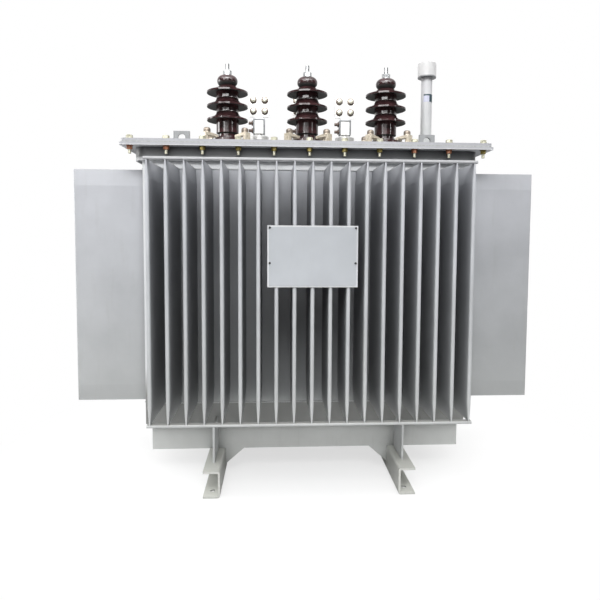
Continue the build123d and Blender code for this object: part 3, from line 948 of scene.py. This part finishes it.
# the rays that see the white backdrop: the camera's own, and reflected or passing ones to the back;
# the span is where the depth turns from front to back
def seenRays(tree, rays, depth, span):
    through = addNode(tree, "ShaderNodeMath", {
        0: rays.outputs["Is Glossy Ray"], 1: rays.outputs["Is Transmission Ray"],
    }, operation="MAXIMUM")
    back = addNode(tree, "ShaderNodeMapRange", {
        "Value": depth, "From Min": span[0], "From Max": span[1],
    }, interpolation_type="SMOOTHSTEP")
    backward = addNode(tree, "ShaderNodeMath", {
        0: through.outputs["Value"], 1: back.outputs["Result"],
    }, operation="MULTIPLY")
    seen = addNode(tree, "ShaderNodeMath", {
        0: rays.outputs["Is Camera Ray"], 1: backward.outputs["Value"],
    }, operation="MAXIMUM")
    return seen.outputs["Value"]


# size, spans and distances from the object's middle are in metres; near and far are strengths there
studioPaper = {
    "size": 40, "colour": "#f6f6f6", "backSpan": (0.2, 0.8),
    "fadeFrom": 0.3, "fadeTo": 1.1, "fadeNear": 0.66,
    "bounceFrom": 0.5, "bounceTo": 1.5, "bounceNear": 0.68, "bounceFar": 0.1,
}


# plain pale studio: the floor is white paper that whitens into the backdrop away from the object
def makeFloor():
    material, tree, output, place = newMaterial("floorPaper")
    rays = addNode(tree, "ShaderNodeLightPath")
    depth = addNode(tree, "ShaderNodeSeparateXYZ", {"Vector": place}).outputs["Y"]
    seen = seenRays(tree, rays, depth, studioPaper["backSpan"])
    distance = addNode(tree, "ShaderNodeVectorMath", {0: place}, operation="LENGTH")
    fade = addNode(tree, "ShaderNodeMapRange", {
        "Value": distance.outputs["Value"],
        "From Min": studioPaper["fadeFrom"], "From Max": studioPaper["fadeTo"],
        "To Min": studioPaper["fadeNear"], "To Max": 1.0,
    }, interpolation_type="SMOOTHSTEP")
    whiten = addNode(tree, "ShaderNodeMath", {
        0: seen, 1: fade.outputs["Result"],
    }, operation="MULTIPLY")
    # the paper lights the object near it and darkens further out, so that little light comes in level
    bounce = addNode(tree, "ShaderNodeMapRange", {
        "Value": distance.outputs["Value"],
        "From Min": studioPaper["bounceFrom"], "From Max": studioPaper["bounceTo"],
        "To Min": studioPaper["bounceNear"], "To Max": studioPaper["bounceFar"],
    })
    tint = addNode(tree, "ShaderNodeMix", {
        "Factor": rays.outputs["Is Camera Ray"],
        "A": bounce.outputs["Result"],
        "B": hexColour(studioPaper["colour"]),
    }, data_type="RGBA")
    paper = addNode(tree, "ShaderNodeBsdfDiffuse", {"Color": tint.outputs["Result"]})
    glow = addNode(tree, "ShaderNodeEmission", {"Color": (1, 1, 1, 1), "Strength": 1.0})
    mixed = addNode(tree, "ShaderNodeMixShader", {
        0: whiten.outputs["Value"], 1: paper.outputs["BSDF"], 2: glow.outputs["Emission"],
    })
    tree.links.new(mixed.outputs["Shader"], output.inputs["Surface"])
    bpy.ops.mesh.primitive_plane_add(size=studioPaper["size"], location=(0, 0, 0))
    floor = bpy.context.object
    floor.name = "studioFloor"
    floor.data.materials.append(material)


makeFloor()

# greys of the sky by the height of the ray: dark at the horizon, bright overhead
studioSky = {
    "greys": ((0.0, 0.02), (0.38, 0.08), (0.68, 1.0), (1.0, 1.0)),
    "strength": 2.2, "backSpan": (-0.05, 0.2),
}


def makeWorld():
    world = bpy.data.worlds.new("studioWorld")
    bpy.context.scene.world = world
    world.use_nodes = True
    tree = world.node_tree
    tree.nodes.clear()
    rays = addNode(tree, "ShaderNodeLightPath")
    up = addNode(tree, "ShaderNodeSeparateXYZ", {
        "Vector": addNode(tree, "ShaderNodeTexCoord").outputs["Generated"],
    })
    seen = seenRays(tree, rays, up.outputs["Y"], studioSky["backSpan"])
    ramp = addNode(tree, "ShaderNodeValToRGB", {"Fac": up.outputs["Z"]})
    setRamp(ramp, tuple((z, (grey, grey, grey, 1)) for z, grey in studioSky["greys"]))
    soft = addNode(tree, "ShaderNodeBackground", {
        "Color": ramp.outputs["Color"], "Strength": studioSky["strength"],
    })
    white = addNode(tree, "ShaderNodeBackground", {"Color": (1, 1, 1, 1), "Strength": 1.0})
    mixed = addNode(tree, "ShaderNodeMixShader", {
        0: seen, 1: soft.outputs["Background"], 2: white.outputs["Background"],
    })
    output = addNode(tree, "ShaderNodeOutputWorld")
    tree.links.new(mixed.outputs["Shader"], output.inputs["Surface"])


makeWorld()
print("floor and backdrop made")

# places and sizes in metres, power in watts; the strips give no diffuse light and only show as reflections
lamps = {
    "keySoftbox": {"at": (-0.35, -3.67, 3.87), "aim": (0, -0.2, 0.6), "size": (2.56, 1.4), "power": 122},
    "frontFill": {"at": (-0.1, -3.1, 0.95), "aim": (0, -0.2, 0.65), "size": (0.8, 0.8), "power": 5.5},
    "rightSoftbox": {"at": (2.8, -1.6, 3.4), "aim": (0.3, 0, 0.6), "size": (0.6, 1.6), "power": 2},
    "leftSoftbox": {"at": (-2.8, -1.4, 3.4), "aim": (-0.3, 0, 0.6), "size": (0.6, 1.6), "power": 12},
    "leftEndSoftbox": {"at": (-3.0, 0.3, 1.2), "aim": (-0.5, -0.1, 1.0), "size": (1.0, 1.0), "power": 30},
    "leftStrip": {"at": (-1.5, -2.3, 1.52), "aim": (0, -0.1, 1.5), "size": (0.1, 0.34), "power": 3},
    "rightStrip": {"at": (1.9, -1.7, 1.52), "aim": (0, -0.1, 1.5), "size": (0.1, 0.34), "power": 2},
    "lowStrip": {"at": (-0.85, -2.5, 1.5), "aim": (-0.1, -0.1, 1.12), "size": (3.0, 0.2), "power": 8},
    "middleStrip": {"at": (-0.85, -2.5, 1.95), "aim": (-0.1, -0.1, 1.2), "size": (3.0, 0.36), "power": 32},
    "highStrip": {"at": (0, -2.6, 3.4), "aim": (0, -0.1, 1.1), "size": (7.0, 1.4), "power": 190},
}


def makeLamps():
    for name, lamp in lamps.items():
        bpy.ops.object.light_add(type="AREA", location=lamp["at"])
        light = bpy.context.object
        light.name = name
        light.data.shape = "RECTANGLE"
        light.data.size, light.data.size_y = lamp["size"]
        light.data.energy = lamp["power"]
        beam = Vector(lamp["aim"]) - Vector(lamp["at"])
        light.rotation_euler = beam.to_track_quat("-Z", "Y").to_euler()
        light.visible_diffuse = "Strip" not in name


makeLamps()
print("lamps made")

# the photograph's view: lens and centre in pixels of the square frame, and where the camera stood
view = {
    "place": (-0.1009, -1.9409, 0.7661), "yaw": 0.05729, "pitch": -0.06581, "roll": 0.00562,
    "sensorWidth": 36, "focalPixels": 550, "centreX": 307.6, "centreY": 272.0, "frame": 600,
}


def makeCamera():
    camera = bpy.data.cameras.new("photoCamera")
    cameraObject = bpy.data.objects.new("photoCamera", camera)
    bpy.context.collection.objects.link(cameraObject)
    camera.sensor_width = view["sensorWidth"]
    camera.lens = view["sensorWidth"] * view["focalPixels"] / view["frame"]
    camera.shift_x = (view["frame"] / 2 - view["centreX"]) / view["frame"]
    camera.shift_y = (view["centreY"] - view["frame"] / 2) / view["frame"]
    turn = (
        Matrix.Rotation(-view["yaw"], 4, "Z")
        @ Matrix.Rotation(math.pi / 2 + view["pitch"], 4, "X")
        @ Matrix.Rotation(view["roll"], 4, "Z")
    )
    cameraObject.location = view["place"]
    cameraObject.rotation_euler = turn.to_euler()
    bpy.context.scene.camera = cameraObject


makeCamera()
bpy.context.scene.view_settings.view_transform = "Standard"
print("camera set")
